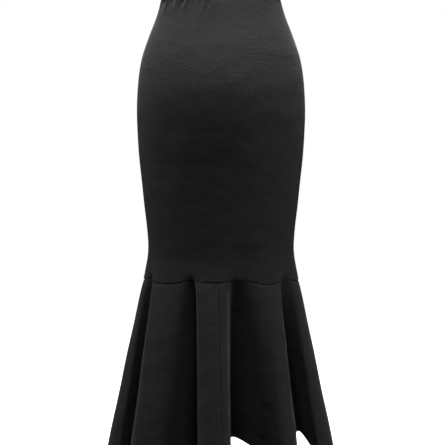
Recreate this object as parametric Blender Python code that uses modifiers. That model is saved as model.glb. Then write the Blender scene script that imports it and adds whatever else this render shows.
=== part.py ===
"""Mermaid fishtail skirt: a fitted tube of two panels, a flounce of two halves and an elastic waistband.

The skirt stands as it is worn, hollow, on a general figure. +Z is up and -Y is the garment's back.
The origin is the middle of the waistband, where the wearer's waist holds it.
"""

import math
from typing import NamedTuple

import bmesh
import bpy
from mathutils import Vector

MM = 0.001

# Driving sizes, in metres.
BAND_HEIGHT = 0.036
BAND_WALL = 0.003
BAND_PROUD = 0.0008  # how far the band stands out past the cloth below it
CLOTH = 0.0015
SEAM_GAP = 0.0006  # between the outer faces of two pieces at a seam; their inner faces come closer
FLOUNCE_SEAM_GAP = 0.0010  # at the knee seam and the flounce's own seams, which bend more
WAIST_SEAM_Z = -BAND_HEIGHT / 2  # the line where the panels join the waistband
VALLEY_SEAM_RISE = 0.007  # how much higher the knee seam lies between two folds
SEAM_BULGE = 0.005  # how far each fold already stands out at the knee seam
SEAM_DIP = 0.003  # how far the knee seam dips in between two folds
SEAM_WAVE_REACH = 0.085  # how far above the knee seam these waves die out
FOLD_BOW = 0.002  # outward bow of a fold's face, where it is fullest
VALLEY_BOW = -0.014  # inward bow of a valley, where it is deepest
BOW_START = 0.08  # how soon the bows start below the knee seam, as a share of the way down
FACE_BOW = 0.010  # how far a fold's face is rounded out between its shoulders, at the hem

# Facets.
FLANK_STEPS = 3  # columns from a valley to a fold's shoulder
FACE_STEPS = 8  # columns across a fold's face
FOLD_STEPS = 2 * FLANK_STEPS + FACE_STEPS
TUBE_ROWS = 12
FLOUNCE_ROWS = 6
ROW_SPREAD = 1.5  # over 1, the rows of the flounce lie closer together near the knee seam
BAND_COLUMNS = 64


class Section(NamedTuple):
    """One level of the fitted tube, in millimetres: half an ellipse to the back and half to the front."""

    below_waist: float
    half_width: float
    back_depth: float
    front_depth: float


TUBE = (
    Section(0, 126, 84, 92),
    Section(35, 136, 93, 97),
    Section(75, 152, 105, 103),
    Section(115, 166, 117, 106),
    Section(155, 174, 126, 107),
    Section(195, 178, 130, 106),
    Section(245, 179, 126, 104),
    Section(300, 177, 114, 101),
    Section(360, 172, 101, 97),
    Section(430, 165, 91, 92),
    Section(500, 158, 84, 87),
    Section(545, 156, 81, 84),
    Section(600, 162, 84, 87),
)


class Fold(NamedTuple):
    """One flute of the flounce and the valley after it, going round from the left to the right of the back.

    Angles are on the knee seam's ellipse, in degrees. The rest is in millimetres: levels below the waist, for
    the fold's face and for the valley, and plan positions at the hem, for the two shoulders and the valley.
    """

    name: str
    seam_left: float
    seam_right: float
    seam_valley: float
    seam_level: float
    hem_level: float
    valley_level: float
    left_x: float
    left_y: float
    right_x: float
    right_y: float
    valley_x: float
    valley_y: float


FOLDS = (
    Fold("back_left", -151, -124, -113, 595, 950, 948, -188, -149, -113, -147, -42, -48),
    Fold("back_centre", -107, -88, -79, 590, 944, 931, -45, -183, 17, -186, 24, -46),
    Fold("back_right", -60, -43, -32, 596, 942, 927, 98, -142, 154, -144, 168, -12),
    Fold("side_right", -20, 16, 30, 595, 962, 936, 210, -84, 241, 24, 174, 54),
    Fold("front_right", 41, 62, 74, 594, 950, 938, 204, 110, 124, 154, 50, 56),
    Fold("front_centre", 82, 103, 110, 591, 946, 940, 40, 174, -26, 180, -46, 54),
    Fold("front_left", 122, 141, 151, 594, 952, 940, -98, 148, -180, 126, -172, 26),
    Fold("side_left", 163, 194, 201, 593, 966, 955, -240, 32, -221, -60, -180, -6),
)

# Pieces meet at these columns of the ring, counted from the valley before the first fold.
BACK_SEAM = FOLD_STEPS + FLANK_STEPS + 6
RIGHT_SIDE = 3 * FOLD_STEPS + FLANK_STEPS + 4
FRONT_SEAM = 5 * FOLD_STEPS + FLANK_STEPS + 3
LEFT_SIDE = 7 * FOLD_STEPS + FLANK_STEPS + 4
RING = len(FOLDS) * FOLD_STEPS


def lerp(a, b, share):
    return a + (b - a) * share


def eased(share):
    """A share from 0 to 1 that starts and ends gently."""
    share = min(1.0, max(0.0, share))
    return share * share * (3 - 2 * share)


def catmull_rom(before, start, end, after, share):
    """A smooth value between start and end, for numbers or vectors."""
    return 0.5 * (
        2 * start
        + (end - before) * share
        + (2 * before - 5 * start + 4 * end - after) * share**2
        + (3 * start - before - 3 * end + after) * share**3
    )


def tube_section(below_waist):
    """Half width, back depth and front depth at a level, in metres, read smoothly from the table."""
    level = below_waist / MM
    last = len(TUBE) - 2
    row = max(i for i in range(last + 1) if i == 0 or TUBE[i].below_waist <= level)
    start, end = TUBE[row], TUBE[row + 1]
    span = end.below_waist - start.below_waist
    share = (level - start.below_waist) / span
    before = TUBE[max(row - 1, 0)]
    after = TUBE[min(row + 2, last + 1)]
    found = []
    for k in (1, 2, 3):
        slope_in = (end[k] - before[k]) / (end.below_waist - before.below_waist) * span
        slope_out = (after[k] - start[k]) / (after.below_waist - start.below_waist) * span
        found.append(hermite(start[k], end[k], slope_in, slope_out, share) * MM)
    return found


def hermite(start, end, slope_in, slope_out, share):
    """The cubic between two values with the given slopes, share of the way along."""
    return (
        (2 * share**3 - 3 * share**2 + 1) * start
        + (share**3 - 2 * share**2 + share) * slope_in
        + (3 * share**2 - 2 * share**3) * end
        + (share**3 - share**2) * slope_out
    )


def station(column):
    """The fold that a column is on and how far across it the column is.

    It is 0 in the valley before the fold, 1 and 2 at the fold's shoulders and 3 in the valley after it.
    """
    column %= RING
    fold, step = divmod(column, FOLD_STEPS)
    if step < FLANK_STEPS:
        across = step / FLANK_STEPS
    elif step < FLANK_STEPS + FACE_STEPS:
        across = 1 + (step - FLANK_STEPS) / FACE_STEPS
    else:
        across = 2 + (step - FLANK_STEPS - FACE_STEPS) / FLANK_STEPS
    return int(fold), across


def crest_share(across):
    """0 in a valley, 1 on a fold's face, eased between."""
    return eased(across) if across < 1 else 1 - eased(across - 2)


def seam_knot(knot):
    """The angle of a valley or shoulder on the knee seam, rising all the way round, for any whole knot."""
    turn, knot = divmod(knot, 3 * len(FOLDS))
    fold, which = divmod(knot, 3)
    this = FOLDS[fold]
    angle = (FOLDS[fold - 1].seam_valley, this.seam_left, this.seam_right)[which]
    return angle + 360 * (turn - (knot == 0))


def seam_angle(column):
    """The angle of a column on the tube's sections, in degrees, from knot to knot without turning back."""
    fold, across = station(column)
    span = min(int(across), 2)
    first = 3 * fold + span
    before, start, end, after = (seam_knot(first + i) for i in (-1, 0, 1, 2))
    slope_in = 2 * (start - before) * (end - start) / (end - before)
    slope_out = 2 * (end - start) * (after - end) / (after - start)
    return hermite(start, end, slope_in, slope_out, across - span)


def swell(column):
    """How far a column is up the round swell of its fold at the knee seam, from 0 to 1."""
    return math.sin(math.pi * station(column)[1] / 3) ** 2


def bow_share(down):
    """0 at both ends, 1 at its fullest, which lies near the knee seam."""
    fullest = (math.sqrt(1 + BOW_START) - math.sqrt(BOW_START)) ** 2
    return down * (1 - down) / (down + BOW_START) / fullest


def over_fold(column, before, crest, after, share):
    """A value that is share of the way to crest from before or after, the valleys beside the fold."""
    return lerp(before if station(column)[1] < 1.5 else after, crest, share)


def seam_level(column):
    """How far below the waist the knee seam lies: it rises a little in the valleys."""
    fold = station(column)[0]
    last, this, after = (FOLDS[(fold + i) % len(FOLDS)].seam_level * MM for i in (-1, 0, 1))
    return over_fold(
        column,
        (last + this) / 2 - VALLEY_SEAM_RISE,
        this,
        (this + after) / 2 - VALLEY_SEAM_RISE,
        swell(column),
    )


def hem_level(column):
    """How far below the waist the hem lies."""
    fold, across = station(column)
    before, this = FOLDS[fold - 1].valley_level, FOLDS[fold]
    return over_fold(column, before, this.hem_level, this.valley_level, crest_share(across)) * MM


def tube_point(column, below_waist):
    """A point of the tube's outer face."""
    half_width, back_depth, front_depth = tube_section(below_waist)
    angle = math.radians(seam_angle(column))
    depth = front_depth if math.sin(angle) > 0 else back_depth
    point = Vector((half_width * math.cos(angle), depth * math.sin(angle), 0))
    outward = Vector((math.cos(angle) * depth, math.sin(angle) * half_width, 0)).normalized()
    near_seam = eased(1 - (seam_level(column) - below_waist) / SEAM_WAVE_REACH)
    wave = lerp(-SEAM_DIP, SEAM_BULGE, swell(column)) * near_seam
    return point + outward * wave + Vector((0, 0, WAIST_SEAM_Z - below_waist))


def hem_knot(knot):
    """A valley or shoulder of the hem, in plan: three knots to a fold, starting at the valley before it."""
    fold, which = divmod(knot % (3 * len(FOLDS)), 3)
    if which == 0:
        before = FOLDS[fold - 1]
        return Vector((before.valley_x, before.valley_y, 0)) * MM
    this = FOLDS[fold]
    if which == 1:
        return Vector((this.left_x, this.left_y, 0)) * MM
    return Vector((this.right_x, this.right_y, 0)) * MM


def hem_point(column):
    """A point of the hem's outer edge."""
    fold, across = station(column)
    span = min(int(across), 2)
    first = 3 * fold + span
    knots = [hem_knot(first + i) for i in (-1, 0, 1, 2)]
    point = catmull_rom(*knots, across - span)
    if span == 1:
        face = knots[2] - knots[1]
        outward = Vector((face.y, -face.x, 0)).normalized()
        point += outward * FACE_BOW * math.sin(math.pi * (across - 1)) ** 2
    point.z = WAIST_SEAM_Z - hem_level(column)
    return point


def flounce_point(column, down):
    """A point of the flounce's outer face, down 0 at the knee seam and 1 at the hem."""
    seam = tube_point(column, seam_level(column))
    hem = hem_point(column)
    outward = Vector((hem.x, hem.y, 0)).normalized()
    bow = lerp(VALLEY_BOW, FOLD_BOW, crest_share(station(column)[1]))
    return seam.lerp(hem, down) + outward * bow * bow_share(down)


def cloth_sheet(name, columns, rows, place, gaps=(SEAM_GAP, SEAM_GAP, SEAM_GAP), closed=False):
    """A grid whose points are placed on a surface, its outer edges drawn in by half a seam gap.

    place takes shares across and up, from 0 to 1, and across turns anticlockwise seen from above. gaps are
    those at the sides, the lower edge and the upper edge.
    """
    mesh = bpy.data.meshes.new(name)
    sheet = bmesh.new()
    bmesh.ops.create_grid(sheet, x_segments=columns, y_segments=rows, size=0.5)
    grid = {}
    for vertex in sheet.verts:
        i = round((vertex.co.x + 0.5) * columns)
        j = round((vertex.co.y + 0.5) * rows)
        grid[i, j] = vertex
        vertex.co = place(i / columns, j / rows)
    if closed:
        bmesh.ops.remove_doubles(sheet, verts=sheet.verts, dist=1e-6)
    else:
        at_sides, below, above = gaps
        for j in range(rows + 1):
            draw_in(grid[0, j], grid[1, j], at_sides)
            draw_in(grid[columns, j], grid[columns - 1, j], at_sides)
        for i in range(columns + 1):
            draw_in(grid[i, 0], grid[i, 1], below)
            draw_in(grid[i, rows], grid[i, rows - 1], above)
    sheet.to_mesh(mesh)
    sheet.free()
    return mesh


def draw_in(edge, neighbour, gap):
    """Moves an edge point half a seam gap towards its neighbour."""
    edge.co += (neighbour.co - edge.co).normalized() * (gap / 2)


def make_piece(name, mesh, wall, material, collection):
    """A named object whose wall is given to it by Solidify, inwards from its outer face."""
    piece = bpy.data.objects.new(name, mesh)
    collection.objects.link(piece)
    mesh.materials.append(material)
    mesh.shade_smooth()
    solidify = piece.modifiers.new("wall", "SOLIDIFY")
    solidify.thickness = wall
    solidify.offset = -1
    return piece


def make_material(name, colour, roughness):
    material = bpy.data.materials.new(name)
    material.use_nodes = True
    shader = material.node_tree.nodes["Principled BSDF"]
    shader.inputs["Base Color"].default_value = (*colour, 1)
    shader.inputs["Roughness"].default_value = roughness
    shader.inputs["Metallic"].default_value = 0
    return material


def make_panel(name, first, last, material, collection):
    """A panel of the tube, from one side seam round to the other."""
    count = last - first

    def place(across, up):
        column = first + round(across * count)
        return tube_point(column, seam_level(column) * (1 - up))

    mesh = cloth_sheet(name, count, TUBE_ROWS, place, (SEAM_GAP, FLOUNCE_SEAM_GAP, SEAM_GAP))
    return make_piece(name, mesh, CLOTH, material, collection)


def make_flounce_half(name, first, last, material, collection):
    """Half of the flounce, from one centre seam round to the other."""
    count = last - first

    def place(across, up):
        return flounce_point(first + round(across * count), (1 - up) ** ROW_SPREAD)

    mesh = cloth_sheet(name, count, FLOUNCE_ROWS, place, (FLOUNCE_SEAM_GAP,) * 3)
    return make_piece(name, mesh, CLOTH, material, collection)


def make_waistband(material, collection):
    """The elastic waistband, a plain oval ring above the waist seam."""
    top = TUBE[0]

    def place(across, up):
        angle = 2 * math.pi * across
        depth = top.front_depth if math.sin(angle) > 0 else top.back_depth
        x = (top.half_width * MM + BAND_PROUD) * math.cos(angle)
        y = (depth * MM + BAND_PROUD) * math.sin(angle)
        return Vector((x, y, lerp(WAIST_SEAM_Z + SEAM_GAP / 2, BAND_HEIGHT / 2, up)))

    mesh = cloth_sheet("waistband", BAND_COLUMNS, 1, place, closed=True)
    return make_piece("waistband", mesh, BAND_WALL, material, collection)


def main():
    for old in list(bpy.data.objects):
        bpy.data.objects.remove(old)
    skirt = bpy.data.collections.new("mermaid_skirt")
    bpy.context.scene.collection.children.link(skirt)
    crepe = make_material("black_crepe", (0.016, 0.016, 0.018), 0.85)
    elastic = make_material("band_crepe", (0.018, 0.018, 0.020), 0.80)
    make_waistband(elastic, skirt)
    make_panel("back_panel", LEFT_SIDE - RING, RIGHT_SIDE, crepe, skirt)
    make_panel("front_panel", RIGHT_SIDE, LEFT_SIDE, crepe, skirt)
    make_flounce_half("flounce_right", BACK_SEAM, FRONT_SEAM, crepe, skirt)
    make_flounce_half("flounce_left", FRONT_SEAM, BACK_SEAM + RING, crepe, skirt)


main()
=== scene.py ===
"""Mermaid fishtail skirt: its cloth, seams, gathers and stitches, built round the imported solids.

The skirt stands as it is worn, hollow, with no wearer. Sizes are in metres, +Z is up, -Y is the garment's
back and the origin is the middle of the waistband. The cloth's outer form is worked out from the same
tables as the solids: sections of the fitted tube, and the folds of the flounce. Each piece is one thin
sheet whose cut edges roll inside and lie back under it as seam allowances.
"""

import logging
import math
from collections.abc import Callable
from dataclasses import dataclass, field
from enum import Enum
from typing import NamedTuple

import bpy
import numpy as np
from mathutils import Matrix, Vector


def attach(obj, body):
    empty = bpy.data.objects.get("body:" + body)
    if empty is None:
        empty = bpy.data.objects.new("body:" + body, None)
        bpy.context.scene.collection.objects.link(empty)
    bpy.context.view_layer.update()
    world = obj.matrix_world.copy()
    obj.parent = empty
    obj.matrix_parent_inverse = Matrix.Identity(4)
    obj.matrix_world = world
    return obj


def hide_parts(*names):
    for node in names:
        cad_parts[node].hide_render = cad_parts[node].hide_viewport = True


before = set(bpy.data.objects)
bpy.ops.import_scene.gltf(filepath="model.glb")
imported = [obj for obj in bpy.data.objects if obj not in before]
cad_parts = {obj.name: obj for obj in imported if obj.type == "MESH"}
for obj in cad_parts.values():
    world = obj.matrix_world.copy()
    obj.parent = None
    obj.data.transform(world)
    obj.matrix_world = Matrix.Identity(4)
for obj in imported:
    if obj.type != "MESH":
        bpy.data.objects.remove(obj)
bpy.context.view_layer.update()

Array = np.ndarray
Material = bpy.types.Material
Object = bpy.types.Object
Socket = bpy.types.NodeSocket
Surface = Callable[[Array, Array], Array]
LOG = logging.getLogger("skirt")
MM = 0.001
CLOTH = 0.0009
UV_NAME = "cloth"
# Point attribute that masks painted seam shade: 1 on rolled edges and allowances, 0 on the face.
PAINTED_SEAM_SHADE_ATTRIBUTE = "turned"
BODY = "root"
# Places round the skirt are counted in knots, and so are the flounce's two centre seams.
KNOTS_A_FOLD = 3
BACK_SEAM = 4.75
FRONT_SEAM = 16.375


class Slot(Enum):
    """Material slot names, one for each crepe."""

    CREPE = "black_crepe"
    BAND = "band_crepe"


class Held(Enum):
    """How a sheet of cloth is held."""

    HUNG = "hung"
    STRETCHED = "stretched"


# ---- Tables of sizes ----


class Section(NamedTuple):
    """One level of the fitted tube, in millimetres: half an ellipse to the back, half to the front."""

    below_waist: float
    half_width: float
    back_depth: float
    front_depth: float


class Fold(NamedTuple):
    """One flute of the flounce and the valley after it, going round from the left of the back.

    Angles are on the knee seam's ellipse, in degrees. The rest is in millimetres: levels below the waist
    for the fold's face and for the valley, then plan positions at the hem.
    """

    name: str
    seam_left: float
    seam_right: float
    seam_valley: float
    seam_level: float
    hem_level: float
    valley_level: float
    left_x: float
    left_y: float
    right_x: float
    right_y: float
    valley_x: float
    valley_y: float


class Gather(NamedTuple):
    """One small crease below the elastic: a ridge, or a trough where its height is negative.

    The angle is where it leaves the waist seam, in degrees. The rest is in millimetres: how far it
    drifts sideways by its end, its start and end below the seam, its width and its height.
    """

    angle: float
    drift: float
    start: float
    end: float
    width: float
    height: float


class Crease(NamedTuple):
    """One soft crease of the tube, long sideways. Its middle is an angle and a level; sizes are in mm."""

    angle: float
    level: float
    length: float
    width: float
    height: float
    tilt: float


class Edge(NamedTuple):
    """A crisp edge down a fold of the flounce: its place and width in knots, and its height in mm."""

    at: float
    height: float
    width: float


TUBE = (
    Section(0, 126, 84, 92),
    Section(35, 136, 93, 97),
    Section(75, 152, 105, 103),
    Section(115, 166, 117, 106),
    Section(155, 174, 126, 107),
    Section(195, 178, 130, 106),
    Section(245, 179, 126, 104),
    Section(300, 177, 114, 101),
    Section(360, 172, 101, 97),
    Section(430, 165, 91, 92),
    Section(500, 158, 84, 87),
    Section(545, 156, 81, 84),
    Section(600, 162, 84, 87),
)

FOLDS = (
    Fold("back_left", -151, -124, -113, 595, 950, 948, -188, -149, -113, -147, -42, -48),
    Fold("back_centre", -107, -88, -79, 590, 944, 931, -45, -183, 17, -186, 24, -46),
    Fold("back_right", -60, -43, -32, 596, 942, 927, 98, -142, 154, -144, 168, -12),
    Fold("side_right", -20, 16, 30, 595, 962, 936, 210, -84, 241, 24, 174, 54),
    Fold("front_right", 41, 62, 74, 594, 950, 938, 204, 110, 124, 154, 50, 56),
    Fold("front_centre", 82, 103, 110, 591, 946, 940, 40, 174, -26, 180, -46, 54),
    Fold("front_left", 122, 141, 151, 594, 952, 940, -98, 148, -180, 126, -172, 26),
    Fold("side_left", 163, 194, 201, 593, 966, 955, -240, 32, -221, -60, -180, -6),
)

GATHERS = (
    Gather(-172, -2, 0, 20, 7, 1.1),
    Gather(-164, -4, 0, 26, 8, -2.2),
    Gather(-157, -7, 0, 24, 8, -3.5),
    Gather(-149, -10, 0, 40, 7, 3.3),
    Gather(-141, -6, 0, 22, 8, -2.0),
    Gather(-135, -5, 2, 38, 9, 2.4),
    Gather(-127, -8, 0, 34, 8, -3.7),
    Gather(-122, -9, 0, 30, 7, 3.1),
    Gather(-115, -5, 0, 22, 9, -1.8),
    Gather(-109, -8, 0, 26, 8, 1.5),
    Gather(-103, -24, 0, 98, 9, 2.4),
    Gather(-99, -20, 4, 60, 8, -1.8),
    Gather(-92, -3, 0, 24, 9, 0.7),
    Gather(-82, 1, 0, 20, 10, -0.7),
    Gather(-77, 2, 0, 22, 9, 0.7),
    Gather(-67, 2, 0, 18, 10, -0.6),
    Gather(-58, 4, 6, 58, 10, 0.7),
    Gather(-49, 3, 0, 20, 9, -0.7),
    Gather(-38, 5, 0, 34, 10, 0.7),
    Gather(-28, 3, 0, 18, 8, -1.0),
    Gather(-20, 4, 0, 16, 7, -1.5),
    Gather(-12, 2, 0, 22, 8, 1.1),
    Gather(6, 2, 0, 24, 8, -1.3),
    Gather(17, 3, 0, 32, 8, 1.4),
    Gather(28, 3, 0, 22, 9, -1.5),
    Gather(38, 5, 0, 40, 9, 1.3),
    Gather(49, 3, 0, 26, 8, -1.1),
    Gather(58, 2, 0, 20, 9, 1.0),
    Gather(69, 2, 0, 30, 9, -1.3),
    Gather(78, 3, 0, 52, 9, 1.1),
    Gather(88, 0, 0, 22, 8, -1.0),
    Gather(97, -2, 0, 28, 9, 1.0),
    Gather(108, -2, 0, 24, 8, -1.4),
    Gather(116, -6, 0, 60, 9, 1.3),
    Gather(127, -3, 0, 26, 9, -1.5),
    Gather(136, -4, 0, 34, 8, 1.4),
    Gather(147, -3, 0, 24, 8, -1.7),
    Gather(157, -4, 0, 30, 8, 1.5),
    Gather(169, -2, 0, 22, 7, -1.1),
)

CREASES = (
    Crease(-140, 88, 60, 16, 0.5, 12),
    Crease(-66, 96, 70, 18, 0.4, -8),
    Crease(-125, 272, 62, 44, -2.0, 5),
    Crease(-58, 276, 66, 44, -2.2, -6),
    Crease(-100, 330, 120, 20, 0.4, 3),
    Crease(-45, 420, 80, 18, 0.4, -9),
    Crease(-120, 468, 90, 16, -0.4, 6),
    Crease(-70, 512, 70, 14, 0.4, -4),
    Crease(60, 120, 80, 18, 0.5, 8),
    Crease(118, 138, 90, 20, -0.5, -6),
    Crease(95, 255, 110, 22, 0.4, 3),
    Crease(48, 380, 80, 18, -0.5, 8),
    Crease(125, 430, 90, 18, 0.5, -7),
    Crease(80, 505, 70, 15, -0.4, 4),
)

EDGES = (
    Edge(1.17, 3.0, 0.15),
    Edge(8.05, 1.2, 0.16),
    Edge(13.1, 2.4, 0.15),
    Edge(16.95, 2.8, 0.13),
    Edge(19.1, 1.8, 0.16),
)


# ---- Smooth values ----


def lerp(start: Array, end: Array, share: Array) -> Array:
    """The value that share of the way from start to end."""
    return start + (end - start) * share


def eased(share: Array) -> Array:
    """A share, held from 0 to 1, that starts and ends gently."""
    held = np.clip(share, 0.0, 1.0)
    return held * held * (3 - 2 * held)


def hermite(start: Array, end: Array, slope_in: Array, slope_out: Array, share: Array) -> Array:
    """A cubic between two values with the given slopes.

    Args:
        start: the value at share 0.
        end: the value at share 1.
        slope_in: the slope at the start, over the whole span.
        slope_out: the slope at the end, over the whole span.
        share: how far along.

    Returns:
        The value at that share.
    """
    square, cube = share**2, share**3
    return (
        (2 * cube - 3 * square + 1) * start
        + (cube - 2 * square + share) * slope_in
        + (3 * square - 2 * cube) * end
        + (cube - square) * slope_out
    )


def ring_curve(knots: Array, at: Array) -> Array:
    """A smooth closed curve through the knots.

    Args:
        knots: one row for each knot, going round.
        at: places on the ring, counted in knots.

    Returns:
        One row for each place.
    """
    first = np.floor(at).astype(int)
    share = (at - first)[..., None]
    before, start, end, after = (knots[(first + i) % len(knots)] for i in (-1, 0, 1, 2))
    return hermite(start, end, (end - before) / 2, (after - start) / 2, share)


def unit(vectors: Array) -> Array:
    """The vectors, each made one long."""
    return vectors / np.linalg.norm(vectors, axis=-1, keepdims=True)


def wrapped(distance: Array, whole: float = 360.0) -> Array:
    """Distances round a ring, taken the shorter way; the whole way round is one turn unless it is given."""
    return (distance + whole / 2) % whole - whole / 2


def bell(distance: Array, width: Array | float) -> Array:
    """A smooth bump: 1 at no distance, and a little over a third one width away."""
    return np.exp(-((distance / width) ** 2))


def evenly(weights: Array, places: Array, count: int) -> Array:
    """Places spaced so that the same weight lies between each two.

    Args:
        weights: how much each place counts.
        places: rising places.
        count: how many to return.

    Returns:
        The chosen places, the first and last among them.
    """
    steps = (weights[1:] + weights[:-1]) / 2 * np.diff(places)
    total = np.concatenate([[0.0], np.cumsum(steps)])
    return np.interp(np.linspace(0, total[-1], count), total, places)


def travelled(points: Array, axis: int = 0) -> Array:
    """How far each point lies from the first one, along one axis of a grid of points."""
    steps = np.linalg.norm(np.diff(points, axis=axis), axis=-1)
    return np.concatenate([np.zeros_like(steps.take([0], axis)), np.cumsum(steps, axis)], axis)


def grid_quads(index: Array) -> Array:
    """The faces between the points of a grid of point numbers, four numbers each."""
    return np.stack([index[:-1, :-1], index[1:, :-1], index[1:, 1:], index[:-1, 1:]], -1).reshape(-1, 4)


def finer_ends(count: int, strength: float) -> Array:
    """Shares from 0 to 1 that lie closer together near both ends, more so with more strength."""
    even = np.linspace(0, 1, count)
    return even - strength * np.sin(2 * math.pi * even) / (2 * math.pi)


# ---- The skirt's form ----


@dataclass(frozen=True)
class SkirtForm:
    """The outer faces of the tube and the flounce, from the tables.

    A place round the skirt is counted in knots: three to a fold, at the valley before it and at its two
    shoulders. It rises anticlockwise seen from above, from the valley at the left of the back.
    """

    waist_seam_z: float = -0.018
    valley_seam_rise: float = 0.007
    seam_bulge: float = 0.005
    seam_dip: float = 0.003
    seam_wave_reach: float = 0.085
    sharp_reach: float = 0.012
    swell_blur: float = 9.0
    blur_steps: int = 720
    blur_places: int = 2000
    fold_bow: float = 0.002
    valley_bow: float = -0.014
    bow_start: float = 0.08
    face_bow: float = 0.010

    @property
    def knots(self) -> int:
        """How many knots go round."""
        return KNOTS_A_FOLD * len(FOLDS)

    def crest(self, at: Array) -> Array:
        """How much a place is on a fold's face: 0 in a valley and 1 between the shoulders."""
        across = at % KNOTS_A_FOLD
        return np.where(across < 1, eased(across), 1 - eased(across - 2))

    def swell(self, at: Array) -> Array:
        """How far a place is up the round swell of its fold at the knee seam, from 0 to 1."""
        return np.sin(math.pi * (at % KNOTS_A_FOLD) / KNOTS_A_FOLD) ** 2

    def soft_swell(self, degrees: Array) -> Array:
        """The swell of the folds smoothed round the tube, as the cloth above the knee seam takes it.

        Args:
            degrees: angles round the tube.

        Returns:
            The smoothed swell at each angle, from 0 to 1.
        """
        places = np.linspace(0, self.knots, self.blur_places, endpoint=False)
        angles = self.angle(places) % 360
        order = np.argsort(angles)
        ring = np.arange(self.blur_steps) * 360 / self.blur_steps
        profile = np.interp(ring, angles[order], self.swell(places)[order], period=360)
        weights = bell(wrapped(ring), self.swell_blur)
        smooth = np.real(np.fft.ifft(np.fft.fft(profile) * np.fft.fft(weights / weights.sum())))
        return np.interp(degrees % 360, ring, smooth, period=360)

    def over_folds(self, at: Array, crests: Array, valleys: Array, share: Array) -> Array:
        """A value eased from fold to fold.

        Args:
            at: places, in knots.
            crests: the value on each fold.
            valleys: the value in the valley before each fold.
            share: how much of the fold's value each place takes.

        Returns:
            The value at each place.
        """
        fold = np.floor(at / KNOTS_A_FOLD).astype(int)
        near = np.where(at % KNOTS_A_FOLD < KNOTS_A_FOLD / 2, fold, fold + 1)
        return lerp(valleys[near % len(FOLDS)], crests[fold % len(FOLDS)], share)

    def seam_level(self, at: Array) -> Array:
        """How far below the waist the knee seam lies."""
        crests = np.array([fold.seam_level for fold in FOLDS]) * MM
        valleys = (crests + np.roll(crests, 1)) / 2 - self.valley_seam_rise
        return self.over_folds(at, crests, valleys, self.swell(at))

    def hem_level(self, at: Array) -> Array:
        """How far below the waist the hem lies."""
        crests = np.array([fold.hem_level for fold in FOLDS]) * MM
        valleys = np.roll([fold.valley_level for fold in FOLDS], 1) * MM
        return self.over_folds(at, crests, valleys, self.crest(at))

    def angle(self, at: Array) -> Array:
        """The angle of a place on the tube's sections, in degrees, rising without turning back.

        Args:
            at: places round it, in knots.

        Returns:
            Their angles, which go on past a full turn as the places do.
        """
        turn = 360.0
        angles = [FOLDS[-1].seam_valley - turn]
        for fold in FOLDS:
            angles += [fold.seam_left, fold.seam_right, fold.seam_valley]
        ring = np.array(angles[:-1])
        first = np.floor(at).astype(int)
        near = (first + i for i in (-1, 0, 1, 2))
        before, start, end, after = (ring[i % self.knots] + turn * (i // self.knots) for i in near)
        slope_in = 2 * (start - before) * (end - start) / (end - before)
        slope_out = 2 * (end - start) * (after - end) / (after - start)
        return hermite(start, end, slope_in, slope_out, at - first)

    def section(self, level: Array) -> tuple[Array, Array, Array]:
        """Half width, back depth and front depth of the tube at a level, in metres.

        Args:
            level: levels below the waist.

        Returns:
            The three sizes at each level.
        """
        rows = np.array(TUBE, float)
        levels = rows[:, 0]
        row = np.clip(np.searchsorted(levels, level / MM, side="right") - 1, 0, len(rows) - 2)
        before, after = np.maximum(row - 1, 0), np.minimum(row + 2, len(rows) - 1)
        span = levels[row + 1] - levels[row]
        share = (level / MM - levels[row]) / span
        found = []
        for k in (1, 2, 3):
            size = rows[:, k]
            slope_in = (size[row + 1] - size[before]) / (levels[row + 1] - levels[before]) * span
            slope_out = (size[after] - size[row]) / (levels[after] - levels[row]) * span
            found.append(hermite(size[row], size[row + 1], slope_in, slope_out, share) * MM)
        return found[0], found[1], found[2]

    def ellipse(self, degrees: Array, level: Array) -> tuple[Array, Array, Array]:
        """The tube's plain section.

        Args:
            degrees: angles round it.
            level: levels below the waist.

        Returns:
            Points at height zero, outward directions and the arc length of one radian.
        """
        half_width, back, front = self.section(level)
        radians = np.radians(degrees)
        cos, sin = np.cos(radians), np.sin(radians)
        depth = np.where(sin > 0, front, back)
        zero = np.zeros_like(cos * depth)
        point = np.stack([half_width * cos, depth * sin, zero], -1)
        outward = unit(np.stack([cos * depth, sin * half_width, zero], -1))
        return point, outward, np.hypot(half_width * sin, depth * cos)

    def tube(self, at: Array, level: Array, lift: Array) -> Array:
        """Points of the tube's outer face.

        Args:
            at: places round it.
            level: levels below the waist.
            lift: how far each point is moved outwards.

        Returns:
            The points.
        """
        degrees = self.angle(at)
        point, outward, _ = self.ellipse(degrees, level)
        above = self.seam_level(at) - level
        near_seam = eased(1 - above / self.seam_wave_reach)
        share = lerp(self.soft_swell(degrees), self.swell(at), eased(1 - above / self.sharp_reach))
        wave = lerp(-self.seam_dip, self.seam_bulge, share) * near_seam
        point = point + outward * (wave + lift)[..., None]
        point[..., 2] = self.waist_seam_z - level
        return point

    def hem(self, at: Array) -> Array:
        """Points of the hem's outer edge.

        Args:
            at: places round it, in knots.

        Returns:
            The points.
        """
        knots = []
        for i, fold in enumerate(FOLDS):
            before = FOLDS[i - 1]
            knots += [
                (before.valley_x, before.valley_y),
                (fold.left_x, fold.left_y),
                (fold.right_x, fold.right_y),
            ]
        ring = np.array(knots) * MM
        plan = ring_curve(ring, at)
        first = np.floor(at).astype(int)
        face = ring[(first + 1) % self.knots] - ring[first % self.knots]
        outward = unit(np.stack([face[..., 1], -face[..., 0]], -1))
        across = at % KNOTS_A_FOLD
        on_face = (across >= 1) & (across < 2)
        bow = np.where(on_face, np.sin(math.pi * (across - 1)) ** 2, 0.0) * self.face_bow
        plan = plan + outward * bow[..., None]
        return np.concatenate([plan, (self.waist_seam_z - self.hem_level(at))[..., None]], -1)

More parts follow.
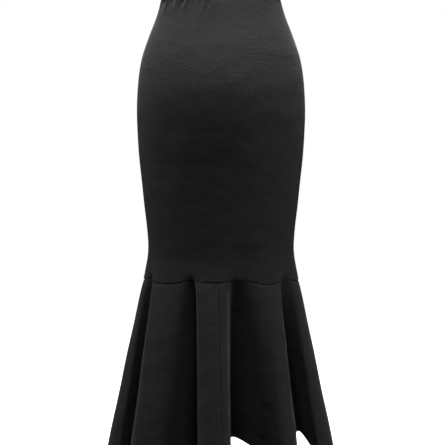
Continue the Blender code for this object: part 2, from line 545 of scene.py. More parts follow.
    def flounce(self, at: Array, down: Array, lift: Array) -> Array:
        """Points of the flounce's outer face.

        Args:
            at: places round it.
            down: 0 at the knee seam and 1 at the hem.
            lift: how far each point is moved outwards.

        Returns:
            The points.
        """
        seam = self.tube(at, self.seam_level(at), np.zeros_like(at))
        hem = self.hem(at)
        outward = unit(hem * np.array([1.0, 1.0, 0.0]))
        fullest = (math.sqrt(1 + self.bow_start) - math.sqrt(self.bow_start)) ** 2
        quick = down * (1 - down) / (down + self.bow_start) / fullest
        bow = lerp(self.valley_bow, self.fold_bow, self.crest(at)) * quick
        return lerp(seam, hem, down[..., None]) + outward * (bow + lift)[..., None]


@dataclass(frozen=True)
class TubeRelief:
    """What lifts the tube's cloth off its plain form: waist gathers, soft creases and seam puckers.

    Puckers and wavers have a whole number of waves to a turn, so that the cloth meets itself.
    """

    form: SkirtForm
    gather_core: float = 0.42
    gather_spread: float = 0.7
    gather_ease: float = 0.8
    gather_above: float = 0.55
    pucker_height: float = 0.00022
    puckers: int = 76
    pucker_uneven: float = 2.2
    pucker_reach: float = 0.007
    extra_swell: float = 0.0022
    waver: float = 0.00035

    def gathers(self, degrees: Array, level: Array, radius: Array) -> Array:
        """The lift from the gathers below the elastic.

        Args:
            degrees: angles round the tube.
            level: levels below the waist.
            radius: metres of arc in one radian there.

        Returns:
            How far each point is raised.
        """
        lift = np.zeros_like(level * degrees)
        for gather in GATHERS:
            along = (level / MM - gather.start) / (gather.end - gather.start)
            drift = gather.drift * MM * np.clip(along, 0, 1) ** self.gather_ease
            aside = np.radians(wrapped(degrees - gather.angle)) * radius - drift
            width = gather.width * MM * self.gather_core * (1 + self.gather_spread * np.clip(along, 0, 1))
            fade = np.where(along < 0, self.gather_above, 1 - eased(along))
            lift = lift + gather.height * MM * bell(aside, width) * fade
        return lift

    def creases(self, degrees: Array, level: Array, radius: Array) -> Array:
        """The lift from the long soft creases.

        Args:
            degrees: angles round the tube.
            level: levels below the waist.
            radius: metres of arc in one radian there.

        Returns:
            How far each point is raised.
        """
        lift = np.zeros_like(level * degrees)
        for crease in CREASES:
            aside = np.radians(wrapped(degrees - crease.angle)) * radius
            tilt = math.radians(crease.tilt)
            down = level - crease.level * MM
            along = aside * math.cos(tilt) + down * math.sin(tilt)
            across = down * math.cos(tilt) - aside * math.sin(tilt)
            reach = bell(along, crease.length * MM / 2)
            lift = lift + crease.height * MM * reach * bell(across, crease.width * MM / 2)
        return lift

    def lift(self, at: Array, level: Array) -> Array:
        """How far the cloth stands off the tube's plain form.

        Args:
            at: places round it, in knots.
            level: levels below the waist.

        Returns:
            The distance outwards, or inwards where it is negative.
        """
        degrees = self.form.angle(at)
        _, _, radius = self.form.ellipse(degrees, level)
        turn = np.radians(degrees)
        to_seam = self.form.seam_level(at) - level
        pucker = np.sin(self.puckers * turn + self.pucker_uneven * np.sin(13 * turn))
        pucker = pucker * np.exp(-np.abs(to_seam) / self.pucker_reach) * self.pucker_height
        slow = self.waver * np.sin(4 * turn + level * 23) * np.sin(level * 41 - 2 * turn + 0.6)
        near_seam = eased(1 - to_seam / self.form.seam_wave_reach)
        swell = (self.form.soft_swell(degrees) - 0.5) * self.extra_swell * near_seam
        folds = self.gathers(degrees, level, radius) + self.creases(degrees, level, radius)
        return folds + pucker + swell + slow


@dataclass(frozen=True)
class FlounceRelief:
    """What lifts the flounce's cloth off its plain form: sunk seams, puckers, a waver and crisp edges."""

    form: SkirtForm
    pucker_height: float = 0.0003
    puckers: int = 80
    pucker_uneven: float = 1.9
    pucker_reach: float = 0.03
    waver: float = 0.0009
    top_sink: float = 0.0013
    top_reach: float = 0.010
    seam_sink: float = 0.0009
    seam_reach: float = 0.040
    waver_full: float = 0.4
    edge_full: float = 1 / 3

    def lift(self, at: Array, down: Array) -> Array:
        """How far the cloth stands off the flounce's plain form.

        Args:
            at: places round it, in knots.
            down: 0 at the knee seam and 1 at the hem.

        Returns:
            The distance outwards, or inwards where it is negative.
        """
        knots = self.form.knots
        turn = at * 2 * math.pi / knots
        pucker = np.sin(self.puckers * turn + self.pucker_uneven * np.sin(19 * turn))
        pucker = pucker * np.exp(-np.abs(down) / self.pucker_reach) * self.pucker_height
        slow = np.sin(16 * turn + down * 5.3) * np.sin(down * 9.0 - 6 * turn + 0.8)
        sunk = self.top_sink * bell(down, self.top_reach)
        for seam in (BACK_SEAM, FRONT_SEAM):
            sunk = sunk + self.seam_sink * bell(wrapped(at - seam, knots), self.seam_reach)
        edges = sum(edge.height * MM * bell(wrapped(at - edge.at, knots), edge.width) for edge in EDGES)
        waver = slow * self.waver * eased(down / self.waver_full)
        return pucker + waver + edges * eased(down / self.edge_full) - sunk


# ---- Nodes ----


class NodeBoard:
    """A short way to add and join the nodes of one tree."""

    def __init__(self, tree: bpy.types.NodeTree) -> None:
        """Keeps the tree.

        Args:
            tree: the node tree to add to.
        """
        self.tree = tree

    def add(self, kind: str, inputs: dict | None = None, **settings: object) -> bpy.types.Node:
        """Adds one node.

        Args:
            kind: the node's type.
            inputs: values, or sockets to join, by input name or number.
            settings: the node's own properties.

        Returns:
            The node.
        """
        node = self.tree.nodes.new(kind)
        for name, value in settings.items():
            setattr(node, name, value)
        for name, value in (inputs or {}).items():
            if isinstance(value, Socket):
                self.tree.links.new(value, node.inputs[name])
            else:
                node.inputs[name].default_value = value
        return node

    def noise(self, coords: Socket, detail: float, distortion: float = 0.0) -> Socket:
        """A noise of unit size over the coordinates."""
        look = {"Scale": 1.0, "Detail": detail, "Roughness": 0.55, "Distortion": distortion}
        return self.add("ShaderNodeTexNoise", {"Vector": coords, **look}).outputs["Fac"]

    def calculate(self, operation: str, first: Socket, second: Socket | float) -> Socket:
        """Two values added, multiplied or the like."""
        return self.add("ShaderNodeMath", {0: first, 1: second}, operation=operation).outputs[0]

    def mix(self, share: Socket, first: Socket | tuple, second: Socket | tuple) -> Socket:
        """Two colours mixed by a share."""
        return self.add("ShaderNodeMix", {0: share, 6: first, 7: second}, data_type="RGBA").outputs[2]

    def bump(self, height: Socket, distance: float, strength: float = 1.0, **more: Socket) -> Socket:
        """A normal that is tilted by a height, over another normal where more gives one."""
        inputs = {"Height": height, "Strength": strength, "Distance": distance, **more}
        return self.add("ShaderNodeBump", inputs).outputs["Normal"]

    def ramp(self, value: Socket, low: float, high: float, to: tuple[float, float]) -> Socket:
        """A value stretched from between low and high to between the two numbers of to."""
        limits = {"From Min": low, "From Max": high, "To Min": to[0], "To Max": to[1]}
        return self.add("ShaderNodeMapRange", {"Value": value, **limits}).outputs["Result"]


def new_material(name: str) -> tuple[Material, NodeBoard, bpy.types.Node]:
    """A new material, the board of its nodes and its Principled shader."""
    material = bpy.data.materials.new(name)
    material.use_nodes = True
    tree = material.node_tree
    return material, NodeBoard(tree), tree.nodes["Principled BSDF"]


def placed(name: str, data: bpy.types.ID) -> Object:
    """A new object in the scene, at the origin."""
    thing = bpy.data.objects.new(name, data)
    bpy.context.scene.collection.objects.link(thing)
    return thing


@dataclass(frozen=True)
class CrepeFinish:
    """Black stretch crepe: matte, with fine uneven ripples that run sideways and a pebbled grain."""

    name: str
    dark: tuple[float, float, float] = (0.0150, 0.0150, 0.0156)
    light: tuple[float, float, float] = (0.0262, 0.0262, 0.0268)
    ripple_length: float = 0.0085
    ripple_width: float = 0.0042
    ripple_height: float = 0.00085
    pebble: float = 0.0012
    pebble_height: float = 0.00016
    mottle: float = 0.045
    crinkle_scale: float = 2.3
    ripple_patches: tuple[float, float] = (0.35, 1.3)
    # Painted shade: how strongly the rolled seam edges are darkened, and the near-black colour painted there
    # as the shadow in the seam grooves.
    painted_seam_shade: float = 0.85
    painted_seam_shadow_colour: tuple[float, float, float] = (0.001, 0.001, 0.001)
    roughness: tuple[float, float] = (0.74, 0.92)
    sheen: float = 0.17
    sheen_roughness: float = 0.45

    def scaled(self, board: NodeBoard, across: float, along: float) -> Socket:
        """The cloth's own coordinates, divided by a length across and a length along."""
        uv = board.add("ShaderNodeUVMap", uv_map=UV_NAME)
        inputs = {"Vector": uv.outputs["UV"], "Scale": (1 / across, 1 / along, 1.0)}
        return board.add("ShaderNodeMapping", inputs).outputs["Vector"]

    def material(self) -> Material:
        """Builds the cloth's material."""
        material, board, shader = new_material(self.name)
        length, width, wide = self.ripple_length, self.ripple_width, self.crinkle_scale
        ripple = board.noise(self.scaled(board, length, width), 3.0, 1.6)
        crinkle = board.noise(self.scaled(board, length * wide, width * wide), 2.0, 1.2)
        patch = board.noise(self.scaled(board, self.mottle * 1.6, self.mottle), 1.0)
        pebble = board.noise(self.scaled(board, self.pebble, self.pebble), 2.0)
        mottle = board.noise(self.scaled(board, self.mottle, self.mottle * 0.6), 4.0)
        strength = board.ramp(patch, 0.35, 0.65, self.ripple_patches)
        waves = board.calculate("MULTIPLY", board.calculate("ADD", ripple, crinkle), strength)
        share = board.ramp(board.calculate("ADD", mottle, ripple), 0.7, 1.3, (0.0, 1.0))
        colour = board.mix(share, (*self.dark, 1), (*self.light, 1))
        coarse = board.bump(waves, self.ripple_height)
        fine = board.bump(pebble, self.pebble_height, Normal=coarse)
        # Painted shade: the base colour is mixed towards near-black on rolled edges and allowances, standing
        # in for the shadow inside the seams.
        turned = board.add("ShaderNodeAttribute", attribute_name=PAINTED_SEAM_SHADE_ATTRIBUTE)
        depth = board.calculate("MULTIPLY", turned.outputs["Fac"], self.painted_seam_shade)
        colour_with_painted_shade = board.mix(depth, colour, (*self.painted_seam_shadow_colour, 1))
        roughness = board.ramp(pebble, 0.3, 0.7, self.roughness)
        for name, socket in (("Base Color", colour_with_painted_shade), ("Roughness", roughness), ("Normal", fine)):
            board.tree.links.new(socket, shader.inputs[name])
        shader.inputs["Specular IOR Level"].default_value = 0.22
        shader.inputs["Sheen Weight"].default_value = self.sheen
        shader.inputs["Sheen Roughness"].default_value = self.sheen_roughness
        shader.inputs["Sheen Tint"].default_value = (0.86, 0.88, 0.92, 1)
        return material


@dataclass(frozen=True)
class ThreadFinish:
    """Black polyester sewing thread, a little shinier than the cloth."""

    name: str = "black_thread"
    colour: tuple[float, float, float] = (0.020, 0.020, 0.022)
    twist: float = 0.0009
    twist_depth: float = 0.0001

    def material(self) -> Material:
        """Builds the thread's material."""
        material, board, shader = new_material(self.name)
        coords = board.add("ShaderNodeTexCoord").outputs["Object"]
        inputs = {"Vector": coords, "Scale": (1 / self.twist,) * 3, "Rotation": (0.4, 0.3, 0.6)}
        strand = board.noise(board.add("ShaderNodeMapping", inputs).outputs["Vector"], 1.0)
        board.tree.links.new(board.bump(strand, self.twist_depth, 0.6), shader.inputs["Normal"])
        board.tree.links.new(board.ramp(strand, 0.3, 0.7, (0.42, 0.6)), shader.inputs["Roughness"])
        shader.inputs["Base Color"].default_value = (*self.colour, 1)
        shader.inputs["Sheen Weight"].default_value = 0.2
        return material


# ---- Cloth ----


@dataclass(frozen=True)
class Turn:
    """How a cut edge is turned inside: its roll's radius, the cloth beyond it and how much painted seam
    shade darkens it.
    """

    radius: float
    allowance: float
    shade: float = 1.0
    steps: int = 6
    flat_steps: int = 3

    def path(self) -> tuple[Array, Array]:
        """Angles of the roll, in radians, and distances along the allowance."""
        angles = np.linspace(0, math.pi, self.steps + 1)[1:]
        return angles, np.linspace(0, self.allowance, self.flat_steps + 1)[1:]


@dataclass(frozen=True)
class Flat:
    """A sheet's cut: its width, its length and its flat area, with how it is held in the garment."""

    width: float
    length: float
    area: float
    held: Held
    hangs_from: tuple[str, ...] = ()


@dataclass
class StitchLine:
    """A line to sew along: its points and, at each, the direction away from the cloth."""

    points: Array
    away: Array


@dataclass
class ClothPiece:
    """A sheet of cloth on a surface that goes round the skirt and down it, with its edges turned inside.

    Attributes:
        name: the object's name.
        surface: points of the outer face, from places round and shares down.
        start: the first place round.
        end: the last place round.
        columns: how many points round.
        down_shares: the shares down at which its rows lie.
        side: the turn of its first and last columns.
        top: the turn of its upper edge.
        bottom: the turn of its lower edge.
        press: how far its side edges press into their neighbours, so that no light shows between.
        samples: how many places are tried before its columns are chosen.
        lines: its raw edges, filled in as it is built.
    """

    name: str
    surface: Surface
    start: float
    end: float
    columns: int
    down_shares: Array
    side: Turn
    top: Turn
    bottom: Turn
    press: float = 0.0001
    samples: int = 1500
    lines: list[StitchLine] = field(default_factory=list)

    @staticmethod
    def moved(at: Array, down: Array, axis: int, step: Array | float) -> tuple[Array, Array]:
        """Places moved round (axis 0) or down (axis 1)."""
        return (at + step, down) if axis == 0 else (at, down + step)

    def derivative(self, at: Array, down: Array, axis: int) -> Array:
        """How a surface point moves with a place round (axis 0) or down (axis 1)."""
        step = (1e-3, 1e-4)[axis]
        ahead = self.surface(*self.moved(at, down, axis, step))
        return (ahead - self.surface(*self.moved(at, down, axis, -step))) / (2 * step)

    def speed(self, at: Array, down: Array, axis: int) -> Array:
        """How many metres one step of a place round or down covers."""
        return np.linalg.norm(self.derivative(at, down, axis), axis=-1)

    def normal(self, at: Array, down: Array) -> Array:
        """The outward direction at each place."""
        return unit(np.cross(self.derivative(at, down, 1), self.derivative(at, down, 0)))

    def face_places(self) -> tuple[Array, Array]:
        """Places round and down of the visible face, which ends where its edges start to roll."""
        samples = np.linspace(self.start, self.end, self.samples)
        speeds = sum(self.speed(samples, np.full_like(samples, share), 0) for share in (0.0, 0.5, 1.0))
        at = evenly(speeds, samples, self.columns)
        shares = (at - self.start) / (self.end - self.start)
        rows = self.down_shares
        inset = self.side.radius - self.press
        low = self.start + inset / self.speed(np.full_like(rows, self.start), rows, 0)
        high = self.end - inset / self.speed(np.full_like(rows, self.end), rows, 0)
        around = lerp(low[:, None], high[:, None], shares[None, :])
        drop = self.speed(at, np.full_like(at, 0.5), 1)
        top = self.top.radius / drop
        bottom = 1 - self.bottom.radius / drop
        return around, lerp(top[None, :], bottom[None, :], rows[:, None])

    def turned(self, at: Array, down: Array, turn: Turn, axis: int, out: float) -> tuple[Array, Array]:
        """The roll and allowance of one edge.

        Args:
            at: places round of the face's last points.
            down: their shares down.
            turn: how the edge is turned.
            axis: 0 for a side edge and 1 for an upper or lower edge.
            out: 1 if the edge lies further along that axis than the face, or -1.

        Returns:
            Points, one row for each step away from the face, and each step's distance from it.
        """
        angles, flats = turn.path()
        point, normal = self.surface(at, down), self.normal(at, down)
        along = unit(self.derivative(at, down, axis)) * out
        speed = self.speed(at, down, axis)
        rows = []
        for angle in angles:
            sunk = normal * turn.radius * (1 - math.cos(angle))
            rows.append(point + along * turn.radius * math.sin(angle) - sunk)
        for distance in flats:
            there = self.moved(at, down, axis, -out * distance / speed)
            rows.append(self.surface(*there) - self.normal(*there) * 2 * turn.radius)
        distances = np.concatenate([angles * turn.radius, math.pi * turn.radius + flats])
        return np.array(rows), distances

    def build(self, material: Material) -> Object:
        """Makes the sheet, with its own map in metres and its wall.

        Args:
            material: the cloth's material.

        Returns:
            The object.
        """
        at, down = self.face_places()
        face = self.surface(at, down)
        around = travelled(face, 1)
        around = around - around[:, self.columns // 2][:, None]
        drop = -travelled(face)
        points, maps = [face.reshape(-1, 3)], [np.stack([around, drop], -1).reshape(-1, 2)]
        # Painted seam shade for each point: none on the visible face, each turn's painted shade on its roll
        # and allowance.
        shades = [np.zeros(at.size)]
        blocks = [np.arange(at.size).reshape(at.shape)]
        count = at.size
        edges = (
            (np.s_[:, 0], self.side, 0, -1.0),
            (np.s_[:, -1], self.side, 0, 1.0),
            (np.s_[0], self.top, 1, -1.0),
            (np.s_[-1], self.bottom, 1, 1.0),
        )
        for edge, turn, axis, out in edges:
            rows, distances = self.turned(at[edge], down[edge], turn, axis, out)
            shift = distances[:, None] * out
            beyond = around[edge] + shift * (axis == 0), drop[edge] - shift * (axis == 1)
            points.append(rows.reshape(-1, 3))
            maps.append(np.stack(beyond, -1).reshape(-1, 2))
            size = rows[..., 0].size
            shades.append(np.full(size, turn.shade))
            blocks.append(count + np.arange(size).reshape(rows.shape[:2]))
            count += size
            self.lines.append(StitchLine(rows[-1], -self.normal(at[edge], down[edge])))
        quads = self.quads(*blocks)
        piece = sheet_object(self.name, np.concatenate(points), quads, np.concatenate(maps), material)
        # The painted seam shade goes into a point attribute that the material reads.
        turned = piece.data.attributes.new(PAINTED_SEAM_SHADE_ATTRIBUTE, "FLOAT", "POINT")
        turned.data.foreach_set("value", np.concatenate(shades).astype(np.float32))
        add_wall(piece)
        LOG.info("%s: %d faces before its wall", self.name, len(quads))
        return piece

    @staticmethod
    def quads(face: Array, first: Array, last: Array, top: Array, bottom: Array) -> Array:
        """The faces that join the sheet's face to its turned edges, from their point numbers.

        Args:
            face: the visible face's, a row for each step down.
            first: the first column's turn, a row for each step away from the face.
            last: the last column's turn.
            top: the upper edge's turn.
            bottom: the lower edge's turn.

        Returns:
            Four point numbers for each face, with none at the four corners.
        """
        rows, columns = (slice(len(a), len(a) + n) for a, n in zip((top, first), face.shape))
        index = np.full((rows.stop + len(bottom), columns.stop + len(last)), -1)
        index[rows, columns] = face
        index[rows, : columns.start] = first[::-1].T
        index[rows, columns.stop :] = last.T
        index[: rows.start, columns] = top[::-1]
        index[rows.stop :, columns] = bottom
        quads = grid_quads(index)
        return quads[(quads >= 0).all(axis=1)]


def sheet_object(name: str, points: Array, quads: Array, maps: Array, material: Material) -> Object:
    """Makes a smooth mesh object at the origin.

    Args:
        name: the object's name.
        points: its points.
        quads: its faces, four point numbers each.
        maps: a map position for each point, in metres.
        material: its material.

    Returns:
        The object, linked to the scene.
    """
    mesh = bpy.data.meshes.new(name)
    mesh.from_pydata(points.tolist(), [], quads.tolist())
    layer = mesh.uv_layers.new(name=UV_NAME)
    loops = np.empty(len(mesh.loops), int)
    mesh.loops.foreach_get("vertex_index", loops)
    layer.data.foreach_set("uv", maps[loops].astype(np.float32).ravel())
    mesh.materials.append(material)
    mesh.shade_smooth()
    mesh.update()
    return placed(name, mesh)


def add_wall(piece: Object) -> None:
    """Gives a sheet its thickness, on the side away from its outer face."""
    wall = piece.modifiers.new("wall", "SOLIDIFY")
    wall.thickness = CLOTH
    wall.offset = -1


def settle(piece: Object, node: str) -> None:
    """Puts a finished sheet of cloth in place of its CAD node.

    Args:
        piece: the sheet.
        node: the CAD node that it stands for.
    """
    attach(piece, BODY)
    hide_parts(node)


# ---- Sub-assemblies ----


@dataclass
class FittedTube:
    """The fitted body of the skirt: a back and a front panel that meet in two side seams."""

    form: SkirtForm
    left_side: float = 22.5
    right_side: float = 10.5
    columns: int = 190
    rows: int = 150
    crowding: float = 0.55
    side: Turn = Turn(0.0010, 0.010)
    top: Turn = Turn(0.0012, 0.008)
    bottom: Turn = Turn(0.0014, 0.010)
    back_cut: Flat = Flat(0.51, 0.62, 0.275, Held.HUNG, ("waistband_cloth",))
    front_cut: Flat = Flat(0.48, 0.62, 0.262, Held.HUNG, ("waistband_cloth",))

    def surface(self, at: Array, down: Array) -> Array:
        """Points of the tube's cloth."""
        level = down * self.form.seam_level(at)
        return self.form.tube(at, level, TubeRelief(self.form).lift(at, level))

    def panel(self, name: str, start: float, end: float) -> ClothPiece:
        """One panel between two side seams."""
        shares = finer_ends(self.rows, self.crowding)
        turns = self.side, self.top, self.bottom
        return ClothPiece(name, self.surface, start, end, self.columns, shares, *turns)

    def build(self, finish: Material) -> list[ClothPiece]:
        """Builds both panels.

        Args:
            finish: the crepe.

        Returns:
            The panels, with their stitch lines.
        """
        back = self.panel("back_panel_cloth", self.left_side - self.form.knots, self.right_side)
        front = self.panel("front_panel_cloth", self.right_side, self.left_side)
        settle(back.build(finish), "back_panel")
        settle(front.build(finish), "front_panel")
        return [back, front]


@dataclass
class Flounce:
    """The fluted fishtail: two halves of a circular cut that meet at the centre back and front."""

    form: SkirtForm
    columns: int = 270
    rows: int = 108
    crowding: float = 0.45
    side: Turn = Turn(0.0010, 0.010)
    top: Turn = Turn(0.0008, 0.010)
    # The hem's roll gets no painted seam shade.
    hem: Turn = Turn(0.0010, 0.014, shade=0.0)
    right_cut: Flat = Flat(0.97, 0.47, 0.305, Held.HUNG, ("back_panel_cloth", "front_panel_cloth"))
    left_cut: Flat = Flat(0.99, 0.475, 0.328, Held.HUNG, ("back_panel_cloth", "front_panel_cloth"))

    def surface(self, at: Array, down: Array) -> Array:
        """Points of the flounce's cloth."""
        return self.form.flounce(at, down, FlounceRelief(self.form).lift(at, down))

    def half(self, name: str, start: float, end: float) -> ClothPiece:
        """One half, from one centre seam round to the other."""
        shares = finer_ends(self.rows, self.crowding)
        turns = self.side, self.top, self.hem
        return ClothPiece(name, self.surface, start, end, self.columns, shares, *turns)

    def build(self, finish: Material) -> list[ClothPiece]:
        """Builds both halves.

        Args:
            finish: the crepe.

        Returns:
            The halves, with their stitch lines.
        """
        right = self.half("flounce_right_cloth", BACK_SEAM, FRONT_SEAM)
        left = self.half("flounce_left_cloth", FRONT_SEAM, BACK_SEAM + self.form.knots)
        settle(right.build(finish), "flounce_right")
        settle(left.build(finish), "flounce_left")
        return [right, left]


@dataclass
class Waistband:
    """A strip of crepe folded over elastic: an outer face, a fold along the top and an inner face."""

    form: SkirtForm
    height: float = 0.036
    proud: float = 0.0008
    fold_radius: float = 0.0016
    seam_radius: float = 0.0011
    columns: int = 440
    face_rows: int = 12
    seam_steps: int = 6
    fold_steps: int = 8
    samples: int = 3000
    ripple_pitch: float = 0.0085
    ripple_height: float = 0.0007
    ripple_seed: int = 21
    ripple_stray: float = 0.32
    ripple_heights: tuple[float, float] = (0.35, 1.0)
    ripple_widths: tuple[float, float] = (0.26, 0.42)
    seam_gap: float = 0.0002
    raw_edge_gap: float = 0.0004
    seam_strength: float = 0.35
    inner_strength: float = -0.7
    top_wave: float = 0.00025
    cut: Flat = Flat(0.70, 0.085, 0.0595, Held.STRETCHED)

    def profile(self) -> Array:
        """The strip's cross-section: how far out from its outer face and how high, from raw edge to edge."""
        low, high = -self.height / 2 + self.seam_gap, self.height / 2
        roll, turn = np.linspace(math.pi, 0, self.seam_steps), np.linspace(0, math.pi, self.fold_steps)
        small, large = self.seam_radius, self.fold_radius
        outer = np.linspace(low + small, high - large, self.face_rows)[1:-1]
        inner = np.linspace(high - large, low + self.raw_edge_gap, self.face_rows)[1:]
        stretches = (
            (-small * (1 - np.cos(roll)), low + small * (1 - np.sin(roll))),
            (0 * outer, outer),
            (-large * (1 - np.cos(turn)), high - large * (1 - np.sin(turn))),
            (0 * inner - 2 * large, inner),
        )
        return np.concatenate([np.stack(stretch, -1) for stretch in stretches])

    def ripples(self, arc: Array, length: float) -> Array:
        """Uneven upright ripples where the elastic draws the cloth in, from -1 to 1.

        Args:
            arc: distances round the band.
            length: the whole way round it.

        Returns:
            The ripple at each distance.
        """
        chance = np.random.default_rng(self.ripple_seed)
        count = round(length / self.ripple_pitch)
        strays = chance.uniform(-self.ripple_stray, self.ripple_stray, count)
        places = (np.arange(count) + strays) * length / count
        heights = chance.uniform(*self.ripple_heights, count)
        widths = self.ripple_pitch * chance.uniform(*self.ripple_widths, count)
        found = np.zeros_like(arc)
        for place, height, width in zip(places, heights, widths):
            found += height * bell(wrapped(arc - place, length), width)
        return found * 2 - 1

    def build(self, finish: Material) -> None:
        """Builds the folded strip.

        Args:
            finish: the band's crepe.
        """
        samples = np.linspace(0, 360, self.samples)
        _, _, radius = self.form.ellipse(samples, np.zeros_like(samples))
        degrees = evenly(radius, samples, self.columns + 1)[:-1]
        base, outward, _ = self.form.ellipse(degrees, np.zeros_like(degrees))
        ring = base + outward * self.proud
        arc = travelled(np.concatenate([ring, ring[:1]]))
        ripple = self.ripples(arc[:-1], float(arc[-1]))[:, None]
        profile = self.profile()
        out, up = profile.T
        height_share = (up + self.height / 2) / self.height
        strength = lerp(self.seam_strength, 1.0, np.sin(math.pi * np.clip(height_share, 0, 1)))
        side = np.where(out > -self.fold_radius, 1.0, self.inner_strength)
        lift = ripple * (strength * side) * self.ripple_height
        points = ring[:, None, :] + outward[:, None, :] * (out + lift)[..., None]
        points[..., 2] = up + ripple * self.top_wave * height_share
        index = np.arange(self.columns * len(profile)).reshape(self.columns, -1)
        quads = grid_quads(np.concatenate([index, index[:1]]))
        maps = np.stack(np.broadcast_arrays(arc[:-1, None], travelled(profile)), -1).reshape(-1, 2)
        piece = sheet_object("waistband_cloth", points.reshape(-1, 3), quads, maps, finish)
        add_wall(piece)
        settle(piece, "waistband")
        LOG.info("waistband_cloth: %d faces before its wall", len(quads))


@dataclass(frozen=True)
class Overlock:
    """Overlocked raw edges inside the skirt: slanting bars of thread, with a needle row beside them."""

    thread: float = 0.00022
    pitch: float = 0.0034
    bite: float = 0.0042
    height: float = 0.0004

    def tree(self, finish: Material, row: bool) -> bpy.types.NodeTree:
        """The nodes that lay one thread at each stitch along the lines.

        Args:
            finish: the thread.
            row: whether the threads lie along the line, as a needle row does, or across it.

        Returns:
            The tree, with named inputs for its sizes.
        """
        tree = bpy.data.node_groups.new("needle_row" if row else "overlock_bars", "GeometryNodeTree")
        face = tree.interface
        face.new_socket("Lines", in_out="INPUT", socket_type="NodeSocketGeometry")
        for name in ("Stitch length", "Bite", "Thread radius", "Loop height"):
            face.new_socket(name, in_out="INPUT", socket_type="NodeSocketFloat")
        face.new_socket("Stitches", in_out="OUTPUT", socket_type="NodeSocketGeometry")
        board = NodeBoard(tree)
        given = board.add("NodeGroupInput").outputs
        curve = board.add("GeometryNodeMeshToCurve", {"Mesh": given["Lines"]}).outputs["Curve"]
        steps = {"Curve": curve, "Length": given["Stitch length"]}
        spaced = board.add("GeometryNodeResampleCurve", steps, mode="LENGTH").outputs["Curve"]
        tangent = board.add("GeometryNodeInputTangent").outputs["Tangent"]
        named = board.add("GeometryNodeInputNamedAttribute", {"Name": "away"}, data_type="FLOAT_VECTOR")
        axes = {"Primary Axis": named.outputs["Attribute"], "Secondary Axis": tangent}
        turn = board.add("FunctionNodeAxesToRotation", axes, primary_axis="Z", secondary_axis="X")
        low = {"Y": given["Bite"]} if row else {}
        high = {"X": given["Stitch length"], "Y": given["Bite"]}
        offsets = low, high, {"Z": given["Loop height"]}
        start, end, rise = (board.add("ShaderNodeCombineXYZ", parts).outputs[0] for parts in offsets)
        bend = {"Resolution": 3, "Start": start, "End": end}
        for name, point in (("Start Handle", start), ("End Handle", end)):
            handle = board.add("ShaderNodeVectorMath", {0: point, 1: rise}, operation="ADD")
            bend[name] = handle.outputs[0]
        bar = board.add("GeometryNodeCurvePrimitiveBezierSegment", bend).outputs["Curve"]
        section = {"Resolution": 3, "Radius": given["Thread radius"]}
        profile = board.add("GeometryNodeCurvePrimitiveCircle", section).outputs["Curve"]
        tube = {"Curve": bar, "Profile Curve": profile, "Fill Caps": True}
        strand = board.add("GeometryNodeCurveToMesh", tube).outputs["Mesh"]
        layout = {"Points": spaced, "Instance": strand, "Rotation": turn.outputs["Rotation"]}
        laid = board.add("GeometryNodeInstanceOnPoints", layout).outputs["Instances"]
        real = board.add("GeometryNodeRealizeInstances", {"Geometry": laid}).outputs["Geometry"]
        dressed = board.add("GeometryNodeSetMaterial", {"Geometry": real, "Material": finish})
        board.add("NodeGroupOutput", {"Stitches": dressed.outputs["Geometry"]})
        return tree

    def guide(self, name: str, lines: list[StitchLine]) -> Object:
        """A mesh of plain edges along the lines, with each point's direction away from the cloth.

        Args:
            name: the object's name.
            lines: where to sew.

        Returns:
            The object.
        """
        points, edges, away = [], [], []
        for line in lines:
            first = len(points)
            points += (line.points + line.away * self.thread).tolist()
            away += line.away.tolist()
            edges += [(first + i, first + i + 1) for i in range(len(line.points) - 1)]
        mesh = bpy.data.meshes.new(name)
        mesh.from_pydata(points, edges, [])
        attribute = mesh.attributes.new("away", "FLOAT_VECTOR", "POINT")
        attribute.data.foreach_set("vector", np.array(away, np.float32).ravel())
        return placed(name, mesh)

    def sew(self, name: str, lines: list[StitchLine], finish: Material, row: bool) -> None:
        """Sews along the lines and keeps the result as a plain mesh.

        Args:
            name: the piece's name.
            lines: where to sew.
            finish: the thread.
            row: whether the threads lie along the line.
        """
        guide = self.guide(name + "_guide", lines)
        modifier = guide.modifiers.new("stitches", "NODES")
        modifier.node_group = self.tree(finish, row)
        sizes = {
            "Stitch length": self.pitch,
            "Bite": self.bite,
            "Thread radius": self.thread,
            "Loop height": self.height,
        }
        for item in modifier.node_group.interface.items_tree:
            if item.name in sizes:
                modifier[item.identifier] = sizes[item.name]
        graph = bpy.context.evaluated_depsgraph_get()
        mesh = bpy.data.meshes.new_from_object(guide.evaluated_get(graph), depsgraph=graph)
        mesh.shade_smooth()
        bpy.data.objects.remove(guide)
        piece = placed(name, mesh)
        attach(piece, BODY)
        LOG.info("%s: %d faces", name, len(mesh.polygons))


# ---- Studio ----


@dataclass(frozen=True)
class SoftBox:
    """A soft area light: its place, what it points at, its size, its power in watts and its spread."""

    name: str
    place: tuple[float, float, float]
    target: tuple[float, float, float]
    width: float
    height: float
    power: float
    spread: float = 180.0

    def build(self) -> None:
        """Adds the light."""
        light = bpy.data.lights.new(self.name, "AREA")
        light.shape = "RECTANGLE"
        light.size, light.size_y = self.width, self.height
        light.energy = self.power
        light.spread = math.radians(self.spread)
        lamp = placed(self.name, light)
        lamp.location = self.place
        aim = Vector(self.target) - Vector(self.place)
        lamp.rotation_euler = aim.to_track_quat("-Z", "Y").to_euler()


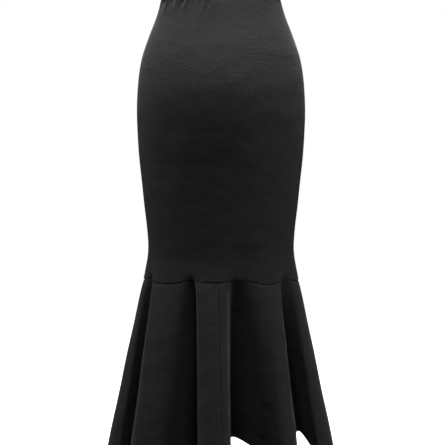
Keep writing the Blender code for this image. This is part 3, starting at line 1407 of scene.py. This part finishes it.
@dataclass(frozen=True)
class Studio:
    """A white studio: soft light from above and both sides, a lamp behind, a pale floor and the camera."""

    floor_z: float = -1.09
    floor_size: float = 14.0
    camera_place: tuple[float, float, float] = (0.0032, -2.7, -0.2172)
    camera_down: float = 5.769
    lens: float = 102.1
    fill: float = 0.004
    lights: tuple[SoftBox, ...] = (
        SoftBox("overhead_box", (0.0, -0.14, 0.75), (0.0, -0.1, -0.1), 0.5, 0.5, 14.6),
        SoftBox("overhead_front_box", (0.0, -0.8, 0.6), (0.0, -0.12, -0.27), 0.5, 0.5, 0.75, 62.0),
        SoftBox("left_box", (-1.5, -0.2, 0.15), (0.0, -0.1, -0.4), 0.8, 1.0, 9.6),
        SoftBox("right_box", (1.5, -0.4, 0.15), (0.0, -0.1, -0.4), 0.8, 1.0, 4.6),
        SoftBox("right_front_box", (1.6, -0.8, 0.1), (0.0, -0.1, -0.4), 0.7, 1.0, 7.8),
        SoftBox("rear_box", (0.0, 1.7, 0.5), (0.0, 0.1, -0.45), 1.2, 1.0, 16.0),
    )

    def world(self) -> None:
        """White behind everything the camera sees, and a faint even fill on the cloth."""
        world = bpy.data.worlds.new("studio")
        world.use_nodes = True
        tree = world.node_tree
        tree.nodes.clear()
        board = NodeBoard(tree)
        lit, white = (
            board.add("ShaderNodeBackground", {"Color": (1, 1, 1, 1), "Strength": strength})
            for strength in (self.fill, 1.0)
        )
        seen = board.add("ShaderNodeLightPath").outputs["Is Camera Ray"]
        both = board.add("ShaderNodeMixShader", {0: seen, 1: lit.outputs[0], 2: white.outputs[0]})
        board.add("ShaderNodeOutputWorld", {"Surface": both.outputs[0]})
        bpy.context.scene.world = world

    def floor(self) -> None:
        """A pale floor below the hem."""
        half = self.floor_size / 2
        mesh = bpy.data.meshes.new("floor")
        corners = [(-half, -half), (half, -half), (half, half), (-half, half)]
        mesh.from_pydata([(x, y, self.floor_z) for x, y in corners], [], [(0, 1, 2, 3)])
        material, board, shader = new_material("pale_floor")
        grain = board.noise(board.add("ShaderNodeTexCoord").outputs["Object"], 3.0)
        shader.inputs["Base Color"].default_value = (0.86, 0.86, 0.86, 1)
        board.tree.links.new(board.ramp(grain, 0.3, 0.7, (0.55, 0.65)), shader.inputs["Roughness"])
        shader.inputs["Emission Color"].default_value = (1, 1, 1, 1)
        shader.inputs["Emission Strength"].default_value = 1.0
        mesh.materials.append(material)
        floor = placed("floor", mesh)
        floor.visible_diffuse = False
        floor.visible_glossy = False

    def camera(self) -> None:
        """The camera, a little above the skirt's middle and looking slightly down."""
        data = bpy.data.cameras.new("camera")
        data.sensor_width = 36.0
        data.lens = self.lens
        camera = placed("camera", data)
        camera.location = self.camera_place
        camera.rotation_euler = (math.radians(90 - self.camera_down), 0, 0)
        bpy.context.scene.camera = camera

    def build(self) -> None:
        """Sets up the whole studio."""
        bpy.context.scene.view_settings.view_transform = "Standard"
        self.world()
        self.floor()
        self.camera()
        for light in self.lights:
            light.build()


def main() -> None:
    """Builds the skirt and the studio."""
    logging.basicConfig(level=logging.INFO)
    form = SkirtForm()
    crepe = CrepeFinish("black_crepe").material()
    band = CrepeFinish("band_crepe", ripple_length=0.009, ripple_width=0.0026).material()
    thread = ThreadFinish().material()
    Waistband(form).build(band)
    pieces = FittedTube(form).build(crepe) + Flounce(form).build(crepe)
    lines = [line for piece in pieces for line in piece.lines]
    overlock = Overlock()
    overlock.sew("overlock_bars", lines, thread, row=False)
    overlock.sew("overlock_needle_row", lines, thread, row=True)
    Studio().build()


if __name__ == "__main__":
    main()
